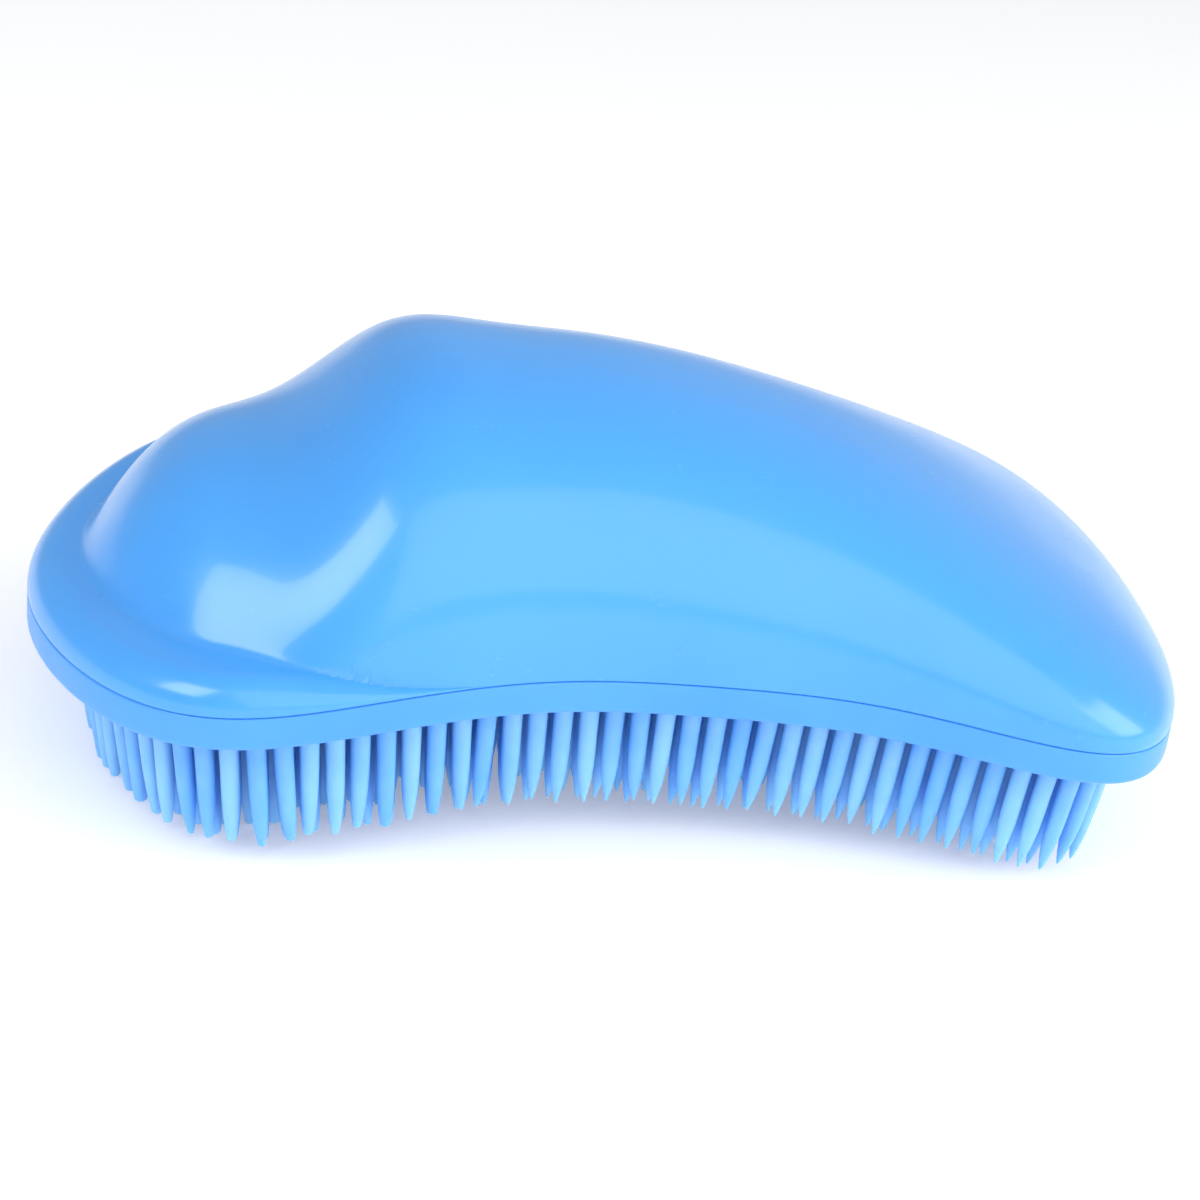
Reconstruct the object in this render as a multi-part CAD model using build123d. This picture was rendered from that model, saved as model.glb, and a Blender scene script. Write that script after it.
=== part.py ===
from build123d import *

import math
import os

import numpy as np
from scipy.interpolate import CubicSpline

# A palm-held moulded grooming brush, in millimetres. +X runs from the nose, where the
# finger brim is, to the tail. +Z is up and z = 0 is the surface that the tooth tips
# stand on. Everything below the palm shell follows one shallow circular arch.

# Overall
LENGTH = 125.0
HALF = LENGTH / 2
ARCH_RISE = 4.5
ARCH_RADIUS = (HALF**2 + ARCH_RISE**2) / (2 * ARCH_RISE)

# Plan outline: half widths at stations along the length, 0 at the nose and 1 at the tail,
# before the rounded ends pull them to zero
PLAN_STATIONS = (0.0, 0.12, 0.27, 0.42, 0.57, 0.72, 0.87, 1.0)
PLAN_HALF_WIDTHS = (33.1, 38.2, 32.2, 26.5, 26.2, 29.1, 40.4, 55.7)
PLAN_END_POWER = 3.54

# Palm shell
SHELL_WALL = 2.4
CAVITY_WIDTH = 0.91  # as a share of the body's own width
CAVITY_HEIGHT = 0.92
CAVITY_OVERCUT = 1.0
RIDGE_STATIONS = (0.0, 0.08, 0.17, 0.26, 0.35, 0.45, 0.60, 0.75, 0.88, 1.0)
RIDGE_HEIGHTS = (12.3, 20.8, 19.5, 25.5, 25.3, 24.2, 21.0, 16.5, 12.0, 8.0)
RIDGE_END_POWER = 3.18
CROSS_POWER = 2.37  # how flat the crown of the palm shell is
FRONT_SIDE_POWER = 1.4  # how steeply the front knob meets its brim
REAR_SIDE_POWER = 2.4  # how steeply the palm end meets the seam

# Finger brim around the nose, fading out at the waist
BRIM_WIDTH = 5.1
BRIM_HEIGHT = 3.4
BRIM_FULL_UNTIL = -42.5
BRIM_GONE_BY = -14.0
CREASE_POWER = 3.5  # lower is a softer crease between the brim and the knob
BODY_NOSE = BRIM_WIDTH - HALF
FRONT_HALF_WIDTH = 31.0  # typical half width of the brimmed end

# Base ring and tooth pad
RING_HEIGHT = 3.8
RING_WALL = 1.6
RING_LEDGE_WIDTH = 1.8
RING_LEDGE_HEIGHT = 1.2
RING_BOTTOM_ROUND = 0.6
SEAM_GAP = 0.05
PAD_CLEARANCE = 0.1
PAD_DEPTH = RING_HEIGHT - RING_LEDGE_HEIGHT - SEAM_GAP  # from the seam to its underside

# Teeth. All stand square to the arched pad, and the inner ones reach further down.
TOOTH_LENGTH = 14.0  # of the edge row, below the ring
SECOND_ROW_EXTRA = 1.3
FIELD_EXTRA = 2.6
TOOTH_ROOT_RADIUS = 1.05
TOOTH_SHOULDER_RADIUS = 0.9  # where the slow taper turns into the faster one of the tip
TOOTH_TIP_RADIUS = 0.35
TOOTH_SHOULDER = 0.33  # its height above the tip, as a share of the tooth
EDGE_ROW_INSET = 5.2
SECOND_ROW_INSET = 7.9
EDGE_PITCH = 2.75
FIELD_PITCH = 3.2
FIELD_ROW_PITCH = 2.8
FIELD_INSET = SECOND_ROW_INSET + 2.5
STANDING_ROWS_FROM = 45.0  # field teeth further out than this stand on z = 0

# How finely the curved shapes are sampled
OUTER_GRID = (48, 57)  # stations along the skin and points across it
INNER_GRID = (30, 21)
END_TURN = 0.04  # the skin stops this little angle short of its poles
OUTLINE_POINTS = 56
FINE_OUTLINE_POINTS = 720  # for measuring along the outline
STEP = 0.01  # for slopes
TINY = 1e-6  # keeps divisions away from zero

plan_half_width = CubicSpline(PLAN_STATIONS, PLAN_HALF_WIDTHS)
ridge_height = CubicSpline(RIDGE_STATIONS, RIDGE_HEIGHTS)


def arc_drop(x):
    """How far the arch has fallen at x, from its crown at the middle of the brush."""
    return ARCH_RADIUS - np.sqrt(ARCH_RADIUS**2 - x**2)


LONGEST_REACH = RING_HEIGHT + TOOTH_LENGTH + FIELD_EXTRA
TIP_ARC_SHARE = 1 - LONGEST_REACH / ARCH_RADIUS  # the field tips' arch against the seam's
SEAM_CROWN_Z = LONGEST_REACH + arc_drop(STANDING_ROWS_FROM) * TIP_ARC_SHARE


def seam_z(x):
    """Height of the seam between the palm shell and the base ring."""
    return SEAM_CROWN_Z - arc_drop(x)


def smooth_step(value):
    """An even ramp from 0 to 1 with soft ends."""
    value = np.clip(value, 0, 1)
    return value * value * (3 - 2 * value)


def half_width(x):
    """Half the width of the brush at x."""
    station = np.clip(x / LENGTH + 0.5, 0, 1)
    end = np.maximum(1 - np.abs(2 * station - 1) ** PLAN_END_POWER, 0)
    return np.sqrt(end) * plan_half_width(station)


def brim_share(x):
    """1 where the brim is whole, 0 where it has faded into the side."""
    return 1 - smooth_step((x - BRIM_FULL_UNTIL) / (BRIM_GONE_BY - BRIM_FULL_UNTIL))


def body_foot(x):
    """Half width of the crowned body where it meets the brim or the seam."""
    inset = BRIM_WIDTH * brim_share(x)
    return half_width(x - inset) * (1 - inset / FRONT_HALF_WIDTH)


def body_height(x, y):
    """Height of the crowned body above the seam, without the brim."""
    foot = body_foot(x)
    across = np.clip(np.abs(y) / np.maximum(foot, TINY), 0, 1)
    along = np.clip((x - BODY_NOSE) / (HALF - BODY_NOSE), 0, 1)
    ridge = np.sqrt(1 - np.abs(2 * along - 1) ** RIDGE_END_POWER) * ridge_height(along)
    side = REAR_SIDE_POWER + (FRONT_SIDE_POWER - REAR_SIDE_POWER) * brim_share(x)
    return np.where(foot > TINY, ridge * (1 - across**CROSS_POWER) ** (1 / side), 0)


def brim_height(x, y):
    """Height of the finger brim above the seam, with its outer edge rounded."""
    width = half_width(x)
    slope = (half_width(x + STEP) - half_width(x - STEP)) / (2 * STEP)
    from_edge = (width**2 - y**2) / (2 * np.sqrt((width * slope) ** 2 + y**2 + TINY))
    inside = np.clip(from_edge / BRIM_HEIGHT, 0, 1)
    return brim_share(x) * BRIM_HEIGHT * np.sqrt(inside * (2 - inside))


def crown_height(x, y):
    """Height of the palm shell above the seam: the body and the brim, softly joined."""
    joined = body_height(x, y) ** CREASE_POWER + brim_height(x, y) ** CREASE_POWER
    return joined ** (1 / CREASE_POWER)


def loft_sections(rows):
    """Solid through rows of points, each row one cross-section over a flat floor."""
    even = list(np.linspace(0, 1, len(rows[0])))
    sections = []
    for row in rows:
        over = Edge.make_spline(row, parameters=even)
        sections.append(Wire([over, Edge.make_line(row[-1], row[0])]))
    return Solid.make_loft(sections)


def grid(shape):
    """Turns along the shell and strips across it, as two lists of angles."""
    stations, strips = shape
    turns = np.linspace(END_TURN, math.pi - END_TURN, stations)
    return turns, np.linspace(-math.pi / 2, math.pi / 2, strips)


def outside():
    """The palm shell as if it were solid."""
    turns, strips = grid(OUTER_GRID)
    rows = []
    for x in -HALF * np.cos(turns):
        across = half_width(x) * np.sin(strips)
        heights = seam_z(x) + crown_height(x, across)
        rows.append([Vector(x, y, z) for y, z in zip(across, heights)])
    return loft_sections(rows)


def cavity():
    """The hollow in the palm shell: its body without the brim, drawn in by the wall.

    It starts a little below the seam, so that it opens the shell's underside.
    """
    turns, strips = grid(INNER_GRID)
    middle, half = (HALF + BODY_NOSE) / 2, (HALF - BODY_NOSE) / 2
    rows = []
    for x in middle - half * np.cos(turns):
        across = body_foot(x) * np.sin(strips)
        inner_x = middle + (x - middle) * (1 - SHELL_WALL / half)
        floor_z = seam_z(inner_x) - CAVITY_OVERCUT
        heights = floor_z + body_height(x, across) * CAVITY_HEIGHT
        rows.append([Vector(inner_x, y * CAVITY_WIDTH, z) for y, z in zip(across, heights)])
    return loft_sections(rows)


def top_shell():
    """Hollow one-piece palm shell, open at the seam."""
    return outside() - cavity()


def outline_point(turn, inset):
    """A point of the plan outline, moved inwards by inset. turn runs once round in 2 pi."""

    def on_outline(angle):
        x = -HALF * np.cos(angle)
        return np.array([x, half_width(x) * (1 if math.sin(angle) >= 0 else -1)])

    tangent = on_outline(turn + STEP) - on_outline(turn - STEP)
    inward = np.array([tangent[1], -tangent[0]]) / np.linalg.norm(tangent)
    return on_outline(turn) + inset * inward


def outline_points(inset, count):
    """Points once round the plan outline moved inwards by inset."""
    turns = np.linspace(0, 2 * math.pi, count, endpoint=False)
    return np.array([outline_point(turn, inset) for turn in turns])


def prism(inset):
    """The plan outline, moved inwards, as an upright prism taller than the brush."""
    points = [Vector(x, y) for x, y in outline_points(inset, OUTLINE_POINTS)]
    return extrude(make_face(Spline(*points, periodic=True)), amount=2 * SEAM_CROWN_Z)


def under_arch(depth):
    """Everything under the arch that runs depth below the seam."""
    radius = ARCH_RADIUS - depth
    centre = Location((0, 0, SEAM_CROWN_Z - ARCH_RADIUS), (90, 0, 0))
    return centre * Cylinder(radius, LENGTH)


def base_ring():
    """Band under the seam, with a ledge inside it that carries the tooth pad."""
    ledge_depth = RING_HEIGHT - RING_LEDGE_HEIGHT
    band = prism(0) & (under_arch(SEAM_GAP) - under_arch(RING_HEIGHT))
    underside = band.faces().filter_by(GeomType.CYLINDER).sort_by(Axis.Z)[0]
    band = fillet(underside.edges(), RING_BOTTOM_ROUND)
    pocket = prism(RING_WALL) - under_arch(ledge_depth)
    opening = prism(RING_WALL + RING_LEDGE_WIDTH)
    return band - pocket - opening


def tooth_pad():
    """Carrier plate of the teeth, clamped between the ledge and the palm shell's rim."""
    slab = under_arch(2 * SEAM_GAP) - under_arch(PAD_DEPTH)
    return prism(RING_WALL + PAD_CLEARANCE) & slab


def below_floor():
    """Everything under the plane that the brush stands on."""
    return Location((0, 0, -TOOTH_LENGTH / 2)) * Box(2 * LENGTH, LENGTH, TOOTH_LENGTH)


def tooth(x, y, extra):
    """One tooth, square to the pad, cut off level where it would pass the standing plane."""
    length = RING_HEIGHT - PAD_DEPTH + TOOTH_LENGTH + extra
    shoulder = (TOOTH_SHOULDER_RADIUS, (TOOTH_SHOULDER - 1) * length)
    side = [(TOOTH_ROOT_RADIUS, 0), shoulder, (TOOTH_TIP_RADIUS, -length)]
    profile = Polyline((0, 0), *side, (0, -length), close=True)
    pin = revolve(make_face(Plane.XZ * profile), Axis.Z)
    lean = math.degrees(math.asin(x / ARCH_RADIUS))
    arch_centre = Location((0, y, SEAM_CROWN_Z - ARCH_RADIUS), (0, lean, 0))
    placed = arch_centre * Location((0, 0, ARCH_RADIUS - PAD_DEPTH)) * pin
    if placed.bounding_box().min.Z < 0:
        placed -= below_floor()
    return placed.solid()


def teeth(positions, extra=0.0):
    """A node of teeth, each a solid of its own. extra makes them longer than the edge row."""
    return Compound([tooth(x, y, extra) for x, y in positions])


def edge_row(inset, phase):
    """Tooth positions at an even pitch along the outline moved inwards by inset."""
    fine = outline_points(inset, FINE_OUTLINE_POINTS)
    closed = np.vstack([fine, fine[:1]])
    lengths = np.linalg.norm(np.diff(closed, axis=0), axis=1)
    travelled = np.concatenate([[0], np.cumsum(lengths)])
    count = round(travelled[-1] / EDGE_PITCH)
    marks = (np.arange(count) + phase) * travelled[-1] / count
    along, across = (np.interp(marks, travelled, closed[:, axis]) for axis in (0, 1))
    return list(zip(along.tolist(), across.tolist()))


def field_positions():
    """Staggered rows that fill the area inside the edge rows."""
    border = outline_points(0, FINE_OUTLINE_POINTS)
    rows = int(HALF / FIELD_ROW_PITCH)
    columns = int(HALF / FIELD_PITCH) + 1
    spots = []
    for row in range(-rows, rows + 1):
        for column in range(-columns, columns + 1):
            x = (column + 0.5 * (row % 2)) * FIELD_PITCH
            y = row * FIELD_ROW_PITCH
            inside = abs(x) < HALF and abs(y) < half_width(x)
            if inside and np.hypot(*(border - (x, y)).T).min() > FIELD_INSET:
                spots.append((x, y))
    return spots


pieces = {
    "top_shell": top_shell(),
    "base_ring": base_ring(),
    "tooth_pad": tooth_pad(),
    "edge_teeth": teeth(edge_row(EDGE_ROW_INSET, 0)),
    "second_row_teeth": teeth(edge_row(SECOND_ROW_INSET, 0.5), SECOND_ROW_EXTRA),
    "field_teeth": teeth(field_positions(), FIELD_EXTRA),
}
os.makedirs("parts", exist_ok=True)
for name, piece in pieces.items():
    export_step(piece, f"parts/{name}.step")
    print(name, len(piece.solids()), round(piece.volume))
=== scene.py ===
import math

import bmesh
import bpy
import numpy as np
from mathutils import Matrix, Vector


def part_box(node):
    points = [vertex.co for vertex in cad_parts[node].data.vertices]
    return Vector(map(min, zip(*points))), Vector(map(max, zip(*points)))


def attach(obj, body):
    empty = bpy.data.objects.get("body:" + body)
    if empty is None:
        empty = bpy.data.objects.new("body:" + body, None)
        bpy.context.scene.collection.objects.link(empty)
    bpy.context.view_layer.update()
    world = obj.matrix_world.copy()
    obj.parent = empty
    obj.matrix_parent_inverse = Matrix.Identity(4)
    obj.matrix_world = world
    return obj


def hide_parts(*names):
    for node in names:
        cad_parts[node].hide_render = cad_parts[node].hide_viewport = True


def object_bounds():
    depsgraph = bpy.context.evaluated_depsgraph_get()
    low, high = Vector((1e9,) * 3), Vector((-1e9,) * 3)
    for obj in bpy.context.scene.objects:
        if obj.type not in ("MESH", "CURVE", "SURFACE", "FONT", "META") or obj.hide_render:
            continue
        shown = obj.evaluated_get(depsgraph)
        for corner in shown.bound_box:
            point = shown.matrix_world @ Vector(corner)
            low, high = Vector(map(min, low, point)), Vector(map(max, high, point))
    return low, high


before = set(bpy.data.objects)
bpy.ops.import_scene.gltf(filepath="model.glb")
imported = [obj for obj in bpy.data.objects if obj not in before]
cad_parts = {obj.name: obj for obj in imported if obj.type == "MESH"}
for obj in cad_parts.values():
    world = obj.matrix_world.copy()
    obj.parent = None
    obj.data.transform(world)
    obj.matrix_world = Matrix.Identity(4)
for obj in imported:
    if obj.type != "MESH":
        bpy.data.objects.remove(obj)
cad_low, cad_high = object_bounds()

# A palm-held moulded grooming brush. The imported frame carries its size; the shape functions
# below work in millimetres, and mesh_from_sheets turns their points into metres.
MM = 0.001
_, ring_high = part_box("base_ring")
HALF = ring_high.x / MM
LENGTH = 2 * HALF
SEAM_GAP = 0.05
SEAM_CROWN_Z = ring_high.z / MM + SEAM_GAP
ARCH_RISE = 4.5
ARCH_RADIUS = (HALF**2 + ARCH_RISE**2) / (2 * ARCH_RISE)

# Palm shell: the same outline, ridge and brim as the CAD node. The two tables, the powers and the
# brim's sizes are rounded results of a least-squares fit, not sizes chosen by hand.
PLAN_STATIONS = (0.0, 0.12, 0.27, 0.42, 0.57, 0.72, 0.87, 1.0)
PLAN_HALF_WIDTHS = (33.1, 38.2, 32.2, 26.5, 26.2, 29.1, 40.4, 55.7)
PLAN_END_POWER = 3.54
RIDGE_STATIONS = (0.0, 0.08, 0.17, 0.26, 0.35, 0.45, 0.60, 0.75, 0.88, 1.0)
RIDGE_HEIGHTS = (12.3, 20.8, 19.5, 25.5, 25.3, 24.2, 21.0, 16.5, 12.0, 8.0)
RIDGE_END_POWER = 3.18
CROSS_POWER = 2.37
FRONT_SIDE_POWER = 1.4
REAR_SIDE_POWER = 2.4
BRIM_WIDTH = 5.1
BRIM_HEIGHT = 3.4
BRIM_FULL_UNTIL = -42.5
BRIM_GONE_BY = -14.0
CREASE_POWER = 3.5  # lower is a softer crease between the brim and the knob
BODY_NOSE = BRIM_WIDTH - HALF
FRONT_HALF_WIDTH = 31.0
SHELL_WALL = 2.4
CAVITY_WIDTH = 0.91
CAVITY_HEIGHT = 0.92
SHELL_LIP = 0.3  # radius of the shell's lower edge, which leaves a fine groove at the seam

# Base ring, as (inset, depth below the seam) around its section
RING_HEIGHT = 3.8
RING_WALL = 1.6
RING_LEDGE_WIDTH = 1.8
RING_LEDGE_HEIGHT = 1.2
RING_TOP_ROUND = 0.25
RING_BOTTOM_ROUND = 0.7

# How finely the skins are sampled
STATIONS = 361
OUTER_STRIPS = 161
INNER_STRIPS = 41
CORNER_STEPS = 5
RING_BOTTOM_STEPS = 8
TOOTH_SIDES = 18
TOOTH_ROOT_BAND = 1.0  # the vertices of a tooth's root lie within this of its top
SLOPE_STEP = 0.01
TINY = 1e-6  # keeps divisions away from zero
TINY_SQUARE = 1e-9
MERGE_DISTANCE = 1e-7  # metres: where sheets meet, their points are one
ISLAND_MERGE_DISTANCE = 1e-6  # metres: the CAD mesh repeats its points from face to face
SHARP_FOLD = 35  # degrees: flatter folds than this are shaded smooth
SHARP_TOOTH_FOLD = 60

# Teeth: share of the length above the tip, then the radius of a pointed and of a blunt tooth
TOOTH_PROFILE = (
    (0.0, 0.0, 0.0),
    (0.002, 0.07, 0.4),
    (0.008, 0.13, 0.62),
    (0.02, 0.19, 0.72),
    (0.1, 0.48, 0.82),
    (0.2, 0.74, 0.9),
    (0.33, 0.92, 0.95),
    (0.45, 0.98, 0.98),
    (0.6, 1.0, 1.0),
    (0.85, 1.05, 1.05),
    (0.94, 1.12, 1.12),
    (0.98, 1.22, 1.22),
    (1.0, 1.34, 1.34),
)
BLUNT_UNTIL = -28.0  # the teeth from the nose to here are worn blunt
POINTED_FROM = -8.0  # and those from here to the tail are whole
LEAST_WEAR = 0.3  # share of the local wear that every tooth has
TOOTH_LEAN = 0.3  # typical sideways lean of a tip
TOOTH_LEAN_MOST = 0.9
TOOTH_LENGTH_SPREAD = 0.25
rng = np.random.default_rng(7)


def not_a_knot(stations, values):
    """The smooth cubic curve through the values, with no break at the second station."""

    def basis(at):
        at = np.atleast_1d(at).ravel()
        powers = [at**0, at, at**2, at**3]
        bends = [np.maximum(at - knot, 0) ** 3 for knot in stations[2:-2]]
        return np.column_stack(powers + bends)

    weights = np.linalg.solve(basis(np.array(stations)), values)
    return lambda at: (basis(at) @ weights).reshape(np.shape(at))


plan_half_width = not_a_knot(PLAN_STATIONS, PLAN_HALF_WIDTHS)
ridge_height = not_a_knot(RIDGE_STATIONS, RIDGE_HEIGHTS)


def seam_z(x):
    """Height of the arched seam between the palm shell and the base ring."""
    return SEAM_CROWN_Z - ARCH_RADIUS + np.sqrt(ARCH_RADIUS**2 - x**2)


def half_width(x):
    """Half the width of the brush at x."""
    station = np.clip(x / LENGTH + 0.5, 0, 1)
    end = np.maximum(1 - np.abs(2 * station - 1) ** PLAN_END_POWER, 0)
    return np.sqrt(end) * plan_half_width(station)


def brim_share(x):
    """1 where the brim is whole, 0 where it has faded into the side."""
    faded = np.clip((x - BRIM_FULL_UNTIL) / (BRIM_GONE_BY - BRIM_FULL_UNTIL), 0, 1)
    return 1 - faded * faded * (3 - 2 * faded)


def body_foot(x):
    """Half width of the crowned body where it meets the brim or the seam."""
    inset = BRIM_WIDTH * brim_share(x)
    return half_width(x - inset) * (1 - inset / FRONT_HALF_WIDTH)


def body_height(x, y):
    """Height of the crowned body above the seam, without the brim."""
    foot = body_foot(x)
    across = np.clip(np.abs(y) / np.maximum(foot, TINY), 0, 1)
    along = np.clip((x - BODY_NOSE) / (HALF - BODY_NOSE), 0, 1)
    end = np.maximum(1 - np.abs(2 * along - 1) ** RIDGE_END_POWER, 0)
    side = REAR_SIDE_POWER + (FRONT_SIDE_POWER - REAR_SIDE_POWER) * brim_share(x)
    height = np.sqrt(end) * ridge_height(along) * (1 - across**CROSS_POWER) ** (1 / side)
    return np.where(foot > TINY, height, 0)


def brim_height(x, y):
    """Height of the finger brim above the seam, with its outer edge rounded."""
    width = half_width(x)
    slope = (half_width(x + SLOPE_STEP) - half_width(x - SLOPE_STEP)) / (2 * SLOPE_STEP)
    from_edge = (width**2 - y**2) / (2 * np.sqrt((width * slope) ** 2 + y**2 + TINY_SQUARE))
    inside = np.clip(from_edge / BRIM_HEIGHT, 0, 1)
    return brim_share(x) * BRIM_HEIGHT * np.sqrt(inside * (2 - inside))


def crown_height(x, y):
    """Height of the palm shell above the seam: the body and the brim, softly joined."""
    joined = body_height(x, y) ** CREASE_POWER + brim_height(x, y) ** CREASE_POWER
    return joined ** (1 / CREASE_POWER)


def mesh_from_sheets(name, sheets, sharp_from=SHARP_FOLD):
    """One closed object from sheets of points in millimetres, joined where they meet.

    A sheet is (points, wraps, tone): a rows x columns x 3 array, whether each of its rows
    runs round in a loop, and a shade from 0 to 1 for its material. Folds sharper than
    sharp_from degrees are shaded as edges.
    """
    made = bmesh.new()
    shade = made.verts.layers.float.new("tone")
    for points, wraps, tone in sheets:
        rows, columns = points.shape[:2]
        verts = [[made.verts.new(Vector(p) * MM) for p in row] for row in points]
        for vert in sum(verts, []):
            vert[shade] = tone
        for i in range(rows - 1):
            for j in range(columns if wraps else columns - 1):
                k = (j + 1) % columns
                made.faces.new((verts[i][j], verts[i][k], verts[i + 1][k], verts[i + 1][j]))
    bmesh.ops.remove_doubles(made, verts=made.verts, dist=MERGE_DISTANCE)
    bmesh.ops.recalc_face_normals(made, faces=made.faces)
    mesh = bpy.data.meshes.new(name)
    made.to_mesh(mesh)
    made.free()
    mesh.shade_smooth()
    mesh.set_sharp_from_angle(angle=math.radians(sharp_from))
    piece = bpy.data.objects.new(name, mesh)
    bpy.context.scene.collection.objects.link(piece)
    return piece


def around():
    """Angles of the points round the outline, matching both long edges of a skin."""
    return np.linspace(0, 2 * math.pi, 2 * STATIONS - 2, endpoint=False)


def outline(angle):
    """Points of the plan outline. The angle runs once round from the nose."""
    x = -HALF * np.cos(angle)
    side = -np.sign(np.round(np.sin(angle), 12))
    return np.stack([x, half_width(x) * side], axis=-1)


def loop(inset, height):
    """A loop of points along the outline moved inwards, at a height above the seam."""
    angle = around()
    tangent = outline(angle + SLOPE_STEP) - outline(angle - SLOPE_STEP)
    inward = np.stack([-tangent[:, 1], tangent[:, 0]], axis=-1)
    inward /= np.linalg.norm(inward, axis=1, keepdims=True)
    x, y = (outline(angle) + inset * inward).T
    return np.stack([x, y, seam_z(x) + height], axis=-1)


def arc(centre, radius, start, end, steps=CORNER_STEPS):
    """Points of a small rounded corner, angles in degrees."""
    turns = np.radians(np.linspace(start, end, steps))
    return [(centre[0] + radius * math.cos(t), centre[1] + radius * math.sin(t)) for t in turns]


def palm_shell():
    """The hollow palm shell: outer skin, rounded lower edge, rim and cavity."""
    turns = np.linspace(0, math.pi, STATIONS)[:, None]
    strips = np.linspace(-math.pi / 2, math.pi / 2, OUTER_STRIPS)[None, :]
    x = np.broadcast_to(-HALF * np.cos(turns), (STATIONS, OUTER_STRIPS))
    y = half_width(x) * np.sin(strips)
    lift = 1 - SHELL_LIP / max(RIDGE_HEIGHTS)
    skin = np.stack([x, y, seam_z(x) + SHELL_LIP + crown_height(x, y) * lift], axis=-1)

    strips = np.linspace(-math.pi / 2, math.pi / 2, INNER_STRIPS)[None, :]
    middle, half = (HALF + BODY_NOSE) / 2, (HALF - BODY_NOSE) / 2
    x = np.broadcast_to(middle - half * np.cos(turns), (STATIONS, INNER_STRIPS))
    y = body_foot(x) * np.sin(strips)
    inner_x = middle + (x - middle) * (1 - SHELL_WALL / half)
    roof = seam_z(inner_x) + body_height(x, y) * CAVITY_HEIGHT
    cavity = np.stack([inner_x, y * CAVITY_WIDTH, roof], axis=-1)

    lip = arc((SHELL_LIP, SHELL_LIP), SHELL_LIP, 180, 270)
    rim = [loop(inset, height) for inset, height in lip]
    rim.append(np.concatenate([cavity[:, 0], cavity[-2:0:-1, -1]]))
    sheets = [(skin, False, 0), (np.array(rim), True, 0), (cavity, False, 0)]
    return mesh_from_sheets("palm_shell_skin", sheets)


def ring_band():
    """The base ring with its edges rounded and its ledge inside."""
    top, bottom, ledge = SEAM_GAP, RING_HEIGHT, RING_HEIGHT - RING_LEDGE_HEIGHT
    opening = RING_WALL + RING_LEDGE_WIDTH
    corner = RING_TOP_ROUND
    section = arc((corner, top + corner), corner, 270, 180)
    foot = RING_BOTTOM_ROUND
    section += arc((foot, bottom - foot), foot, 180, 90, RING_BOTTOM_STEPS)
    section += arc((opening - corner, bottom - corner), corner, 90, 0)
    section += [(opening, ledge), (RING_WALL, ledge), (RING_WALL, top)]
    loops = [loop(inset, -depth) for inset, depth in section]
    return mesh_from_sheets("base_ring_band", [(np.array(loops + loops[:1]), True, 0)])


def islands(mesh):
    """The points of each separate solid in a mesh, in millimetres."""
    joined = bmesh.new()
    joined.from_mesh(mesh)
    bmesh.ops.remove_doubles(joined, verts=joined.verts, dist=ISLAND_MERGE_DISTANCE)
    seen, found = set(), []
    for start in joined.verts:
        if start in seen:
            continue
        island, todo = [], [start]
        seen.add(start)
        while todo:
            vert = todo.pop()
            island.append(vert.co / MM)
            for edge in vert.link_edges:
                other = edge.other_vert(vert)
                if other not in seen:
                    seen.add(other)
                    todo.append(other)
        found.append(np.array(island))
    joined.free()
    return found


def tooth_axes(node):
    """(root centre, direction of the tip, length) of each tooth in a CAD node."""
    arch_centre_z = SEAM_CROWN_Z - ARCH_RADIUS
    axes = []
    for points in islands(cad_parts[node].data):
        top = points[:, 2].max()
        root = points[points[:, 2] > top - TOOTH_ROOT_BAND].mean(axis=0)
        down = np.array([-root[0], 0, arch_centre_z - root[2]])
        down /= np.linalg.norm(down)
        length = (points[:, 2].min() - root[2]) / down[2]
        axes.append((root, down, length))
    return sorted(axes, key=lambda axis: tuple(axis[0]))


def teeth(name, node):
    """All teeth of a CAD node as round, slightly leaning pins with rounded or blunt tips."""
    turns = np.linspace(0, 2 * math.pi, TOOTH_SIDES, endpoint=False)
    share, pointed, blunt = np.array(TOOTH_PROFILE).T[:, :, None]
    sheets = []
    for root, down, length in tooth_axes(node):
        lean = np.clip(rng.normal(0, TOOTH_LEAN, 2), -TOOTH_LEAN_MOST, TOOTH_LEAN_MOST)
        near_nose = np.clip((POINTED_FROM - root[0]) / (POINTED_FROM - BLUNT_UNTIL), 0, 1)
        worn = near_nose * rng.uniform(LEAST_WEAR, 1)
        radius = pointed + (blunt - pointed) * worn
        along = (1 - share) * (length - rng.uniform(0, TOOTH_LENGTH_SPREAD))
        bend = (1 - share) ** 2
        across = np.array([-down[2], 0, down[0]])
        px = root[0] + down[0] * along + bend * lean[0] + across[0] * radius * np.cos(turns)
        py = root[1] + bend * lean[1] + radius * np.sin(turns)
        pz = root[2] + down[2] * along + across[2] * radius * np.cos(turns)
        sheets.append((np.stack([px, py, pz], axis=-1), True, rng.uniform(0, 1)))
    return mesh_from_sheets(name, sheets, sharp_from=SHARP_TOOTH_FOLD)


# Materials -----------------------------------------------------------------------------

PLASTIC_IOR = 1.49
GLOW_DEPTH_MM = 2.0  # how deep light goes in before it comes out again
GLOW_RADII = (0.3, 0.7, 1.0)  # red, green and blue, as shares of that depth
COAT_ROUGHNESS = 0.06
DRIFT_DETAIL = 3.0
WEAR_DETAIL = 6.0
WEAR_ROUGH = 0.6
WEAR_PER_PATCH = 5  # patches of wear across one patch of colour
SCUFF_STRETCH = (1.0, 9.0, 9.0)
SCUFF_TURN = (0.0, 0.0, 0.35)
SCUFF_MM = 9.0
SCUFF_DETAIL = 3.0
SCUFF_FROM = 0.66  # only the peaks of the noise show as scuffs
SCUFF_WHOLE_AT = 0.8


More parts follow.
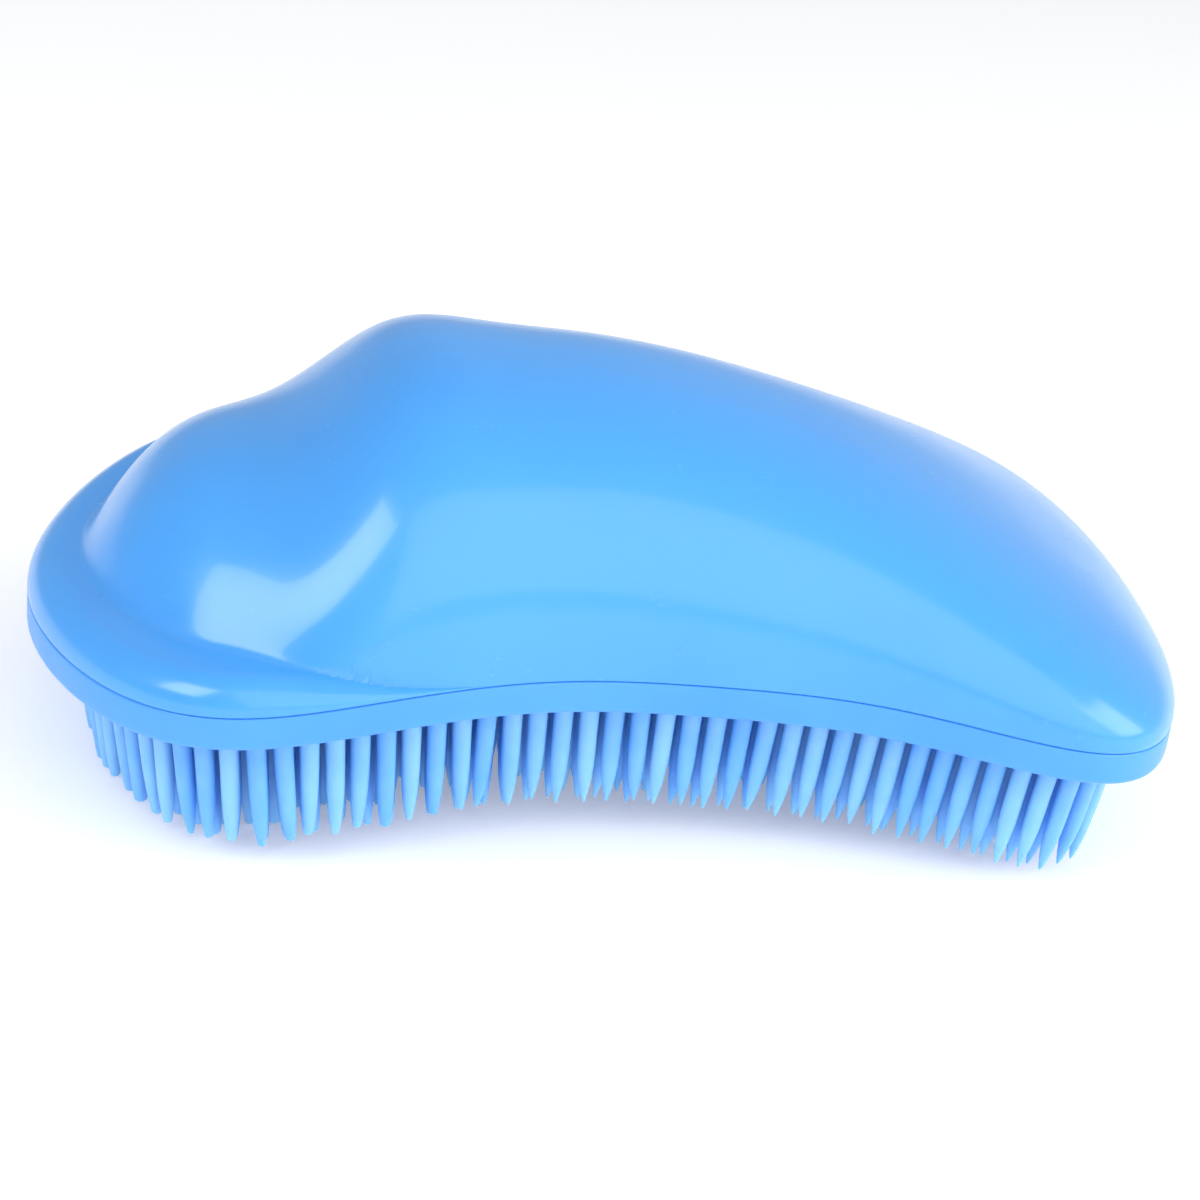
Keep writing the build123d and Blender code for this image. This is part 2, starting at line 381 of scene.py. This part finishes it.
def node(tree, kind, **inputs):
    """A shader node with some inputs set: a value is put on the socket, a socket linked."""
    made = tree.nodes.new(kind)
    for name, value in inputs.items():
        socket = made.inputs[name.replace("_", " ")]
        if isinstance(value, bpy.types.NodeSocket):
            tree.links.new(value, socket)
        else:
            socket.default_value = value
    return made


def linear(red, green, blue):
    """An sRGB colour, 0 to 255, as the linear colour that a shader takes."""
    parts = [value / 255 for value in (red, green, blue)]
    # The sRGB standard's curve: straight near black, a power above it.
    return [p / 12.92 if p <= 0.04045 else ((p + 0.055) / 1.055) ** 2.4 for p in parts] + [1]


def noise(tree, coords, size_mm, detail=2.0, rough=0.5):
    """Noise whose features are about size_mm across."""
    made = node(tree, "ShaderNodeTexNoise", Vector=coords, Scale=1 / (size_mm * MM))
    made.inputs["Detail"].default_value = detail
    made.inputs["Roughness"].default_value = rough
    return made.outputs["Fac"]


def spread(tree, value, low, high, from_low=0.3, from_high=0.7):
    """Noise stretched to run from low to high."""
    made = node(tree, "ShaderNodeMapRange", Value=value)
    for name, number in (
        ("From Min", from_low),
        ("From Max", from_high),
        ("To Min", low),
        ("To Max", high),
    ):
        made.inputs[name].default_value = number
    return made.outputs["Result"]


def maths(tree, operation, first, second):
    """The result of a two-value maths node."""
    made = tree.nodes.new("ShaderNodeMath")
    made.operation = operation
    for socket, value in zip(made.inputs, (first, second)):
        if isinstance(value, bpy.types.NodeSocket):
            tree.links.new(value, socket)
        else:
            socket.default_value = value
    return made.outputs["Value"]


def plastic(
    name,
    light,
    dark,
    patch_mm,
    roughness,
    grain_mm,
    grain_depth_mm,
    subsurface,
    coat,
    scuff,
    tone_from_patches=1.0,
):
    """Moulded plastic: slow colour drift, fine grain, and faint scuffs in the gloss."""
    material = bpy.data.materials.new(name)
    material.use_nodes = True
    tree = material.node_tree
    shader = tree.nodes["Principled BSDF"]
    coords = tree.nodes.new("ShaderNodeTexCoord").outputs["Object"]

    drift = spread(tree, noise(tree, coords, patch_mm, DRIFT_DETAIL), -0.5, 0.5)
    drift = maths(tree, "MULTIPLY", drift, tone_from_patches)
    tone = tree.nodes.new("ShaderNodeAttribute")
    tone.attribute_name = "tone"
    shade = maths(tree, "ADD", drift, tone.outputs["Fac"])
    colour = tree.nodes.new("ShaderNodeMix")
    colour.data_type = "RGBA"
    tree.links.new(shade, colour.inputs["Factor"])
    colour.inputs["A"].default_value = light
    colour.inputs["B"].default_value = dark
    tree.links.new(colour.outputs["Result"], shader.inputs["Base Color"])

    wear = noise(tree, coords, patch_mm / WEAR_PER_PATCH, WEAR_DETAIL, WEAR_ROUGH)
    gloss = spread(tree, wear, *roughness)
    along = node(tree, "ShaderNodeMapping", Vector=coords, Scale=SCUFF_STRETCH, Rotation=SCUFF_TURN)
    marks = noise(tree, along.outputs["Vector"], SCUFF_MM, SCUFF_DETAIL)
    scuffs = spread(tree, marks, 0, scuff, SCUFF_FROM, SCUFF_WHOLE_AT)
    tree.links.new(maths(tree, "ADD", gloss, scuffs), shader.inputs["Roughness"])

    grain = noise(tree, coords, grain_mm)
    bump = node(tree, "ShaderNodeBump", Height=grain, Strength=1.0, Distance=grain_depth_mm * MM)
    tree.links.new(bump.outputs["Normal"], shader.inputs["Normal"])

    shader.inputs["IOR"].default_value = PLASTIC_IOR
    shader.inputs["Subsurface Weight"].default_value = subsurface
    shader.inputs["Subsurface Radius"].default_value = GLOW_RADII
    shader.inputs["Subsurface Scale"].default_value = GLOW_DEPTH_MM * MM
    shader.inputs["Coat Weight"].default_value = coat
    shader.inputs["Coat Roughness"].default_value = COAT_ROUGHNESS
    return material


shell_plastic = plastic(
    "shell_plastic",
    light=linear(76, 164, 244),
    dark=linear(66, 156, 240),
    patch_mm=30,
    roughness=(0.2, 0.28),
    grain_mm=1.2,
    grain_depth_mm=0.004,
    subsurface=0.15,
    coat=0.25,
    scuff=0.02,
)
ring_plastic = plastic(
    "ring_plastic",
    light=linear(78, 161, 245),
    dark=linear(66, 151, 239),
    patch_mm=20,
    roughness=(0.3, 0.4),
    grain_mm=0.5,
    grain_depth_mm=0.006,
    subsurface=0.15,
    coat=0.0,
    scuff=0.1,
)
# The pad's blue is darker and more saturated than the teeth's: it paints the shade that falls deep
# between the teeth.
pad_rubber = plastic(
    "pad_rubber",
    light=linear(40, 118, 226),
    dark=linear(26, 100, 214),
    patch_mm=12,
    roughness=(0.5, 0.65),
    grain_mm=0.4,
    grain_depth_mm=0.02,
    subsurface=0.2,
    coat=0.0,
    scuff=0.05,
)
tooth_rubber = plastic(
    "tooth_rubber",
    light=linear(138, 197, 251),
    dark=linear(106, 176, 249),
    patch_mm=4,
    roughness=(0.36, 0.48),
    grain_mm=0.3,
    grain_depth_mm=0.01,
    subsurface=0.5,
    coat=0.0,
    scuff=0.05,
    tone_from_patches=0.4,
)


def finish_piece(piece, material, slot, *nodes):
    """Paint a piece, put it on the brush's body, and hide the CAD nodes it stands for."""
    piece.data.materials.append(material)
    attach(piece, "root")
    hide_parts(*nodes)


finish_piece(palm_shell(), shell_plastic, "shell_plastic", "top_shell")
finish_piece(ring_band(), ring_plastic, "ring_plastic", "base_ring")
for row in ("edge_teeth", "second_row_teeth", "field_teeth"):
    finish_piece(teeth(f"{row}_pins", row), tooth_rubber, "tooth_plastic", row)
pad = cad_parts["tooth_pad"]
for material_slot in pad.material_slots:
    material_slot.material = pad_rubber


# Studio --------------------------------------------------------------------------------

FLOOR_HALF = 6.0
FLOOR_GLOW = 0.25
SKY_COLOUR = (0.93, 0.96, 1.0, 1)
SKY_LEFT = 0.36
SKY_RIGHT = 0.62
floor_mesh = bpy.data.meshes.new("studio_floor")
signs = ((-1, -1), (1, -1), (1, 1), (-1, 1))
corners = [(x_sign * FLOOR_HALF, y_sign * FLOOR_HALF, 0) for x_sign, y_sign in signs]
floor_mesh.from_pydata(corners, [], [(0, 1, 2, 3)])
floor = bpy.data.objects.new("studio_floor", floor_mesh)
bpy.context.scene.collection.objects.link(floor)
floor_paint = plastic(
    "floor_paint",
    light=(0.93, 0.93, 0.93, 1),
    dark=(0.9, 0.9, 0.9, 1),
    patch_mm=400,
    roughness=(0.7, 0.8),
    grain_mm=3,
    grain_depth_mm=0.02,
    subsurface=0.0,
    coat=0.0,
    scuff=0.05,
)
floor_shader = floor_paint.node_tree.nodes["Principled BSDF"]
floor_shader.inputs["Emission Color"].default_value = (1, 1, 1, 1)
floor_shader.inputs["Emission Strength"].default_value = FLOOR_GLOW
floor_mesh.materials.append(floor_paint)

world = bpy.data.worlds.new("studio")
bpy.context.scene.world = world
world.use_nodes = True
sky = world.node_tree.nodes["Background"]
sky.inputs["Color"].default_value = SKY_COLOUR
directions = world.node_tree.nodes.new("ShaderNodeTexCoord").outputs["Generated"]
sideways = node(world.node_tree, "ShaderNodeSeparateXYZ", Vector=directions).outputs["X"]
glow = spread(world.node_tree, sideways, SKY_LEFT, SKY_RIGHT, -1, 1)
world.node_tree.links.new(glow, sky.inputs["Strength"])

centre = (cad_low + cad_high) / 2


def softbox(name, azimuth, elevation, distance, size, power):
    """A square soft light aimed at the brush. Azimuth 0 is at the front, 90 at the right.

    Angles are in degrees, the distance and the side of the light in metres, the power in watts.
    """
    a, e = math.radians(azimuth), math.radians(elevation)
    towards = Vector((math.sin(a) * math.cos(e), -math.cos(a) * math.cos(e), math.sin(e)))
    lamp = bpy.data.lights.new(name, "AREA")
    lamp.size = size
    lamp.energy = power
    made = bpy.data.objects.new(name, lamp)
    made.location = centre + towards * distance
    made.rotation_euler = towards.to_track_quat("Z", "Y").to_euler()
    bpy.context.scene.collection.objects.link(made)


softbox("key", azimuth=-61, elevation=37, distance=0.6, size=0.28, power=1.3)
softbox("front", azimuth=18, elevation=37, distance=0.7, size=0.8, power=2.6)
softbox("right_side", azimuth=70, elevation=24, distance=0.6, size=0.36, power=1.6)


# Camera --------------------------------------------------------------------------------

# These values too are results of the fit.
AZIMUTH = math.radians(-9.77)
ELEVATION = math.radians(27.69)
ROLL = math.radians(6.86)
DISTANCE = 0.30022
TARGET = Vector((-0.33, 0.0, SEAM_CROWN_Z - 4.37)) * MM
FOCAL_LENGTH_MM = 81.3
SENSOR_WIDTH_MM = 36
NEAREST_SEEN = 0.01

back = Vector((
    math.sin(AZIMUTH) * math.cos(ELEVATION),
    -math.cos(AZIMUTH) * math.cos(ELEVATION),
    math.sin(ELEVATION),
))
level = Vector((math.cos(AZIMUTH), math.sin(AZIMUTH), 0))
upright = back.cross(level)
right = level * math.cos(ROLL) + upright * math.sin(ROLL)
up = upright * math.cos(ROLL) - level * math.sin(ROLL)
lens = bpy.data.cameras.new("main_view")
lens.lens = FOCAL_LENGTH_MM
lens.sensor_width = SENSOR_WIDTH_MM
lens.clip_start = NEAREST_SEEN
camera = bpy.data.objects.new("main_view", lens)
turned = Matrix((right, up, back)).transposed().to_4x4()
camera.matrix_world = Matrix.Translation(TARGET + back * DISTANCE) @ turned
bpy.context.scene.collection.objects.link(camera)
bpy.context.scene.camera = camera
bpy.context.scene.view_settings.view_transform = "Standard"
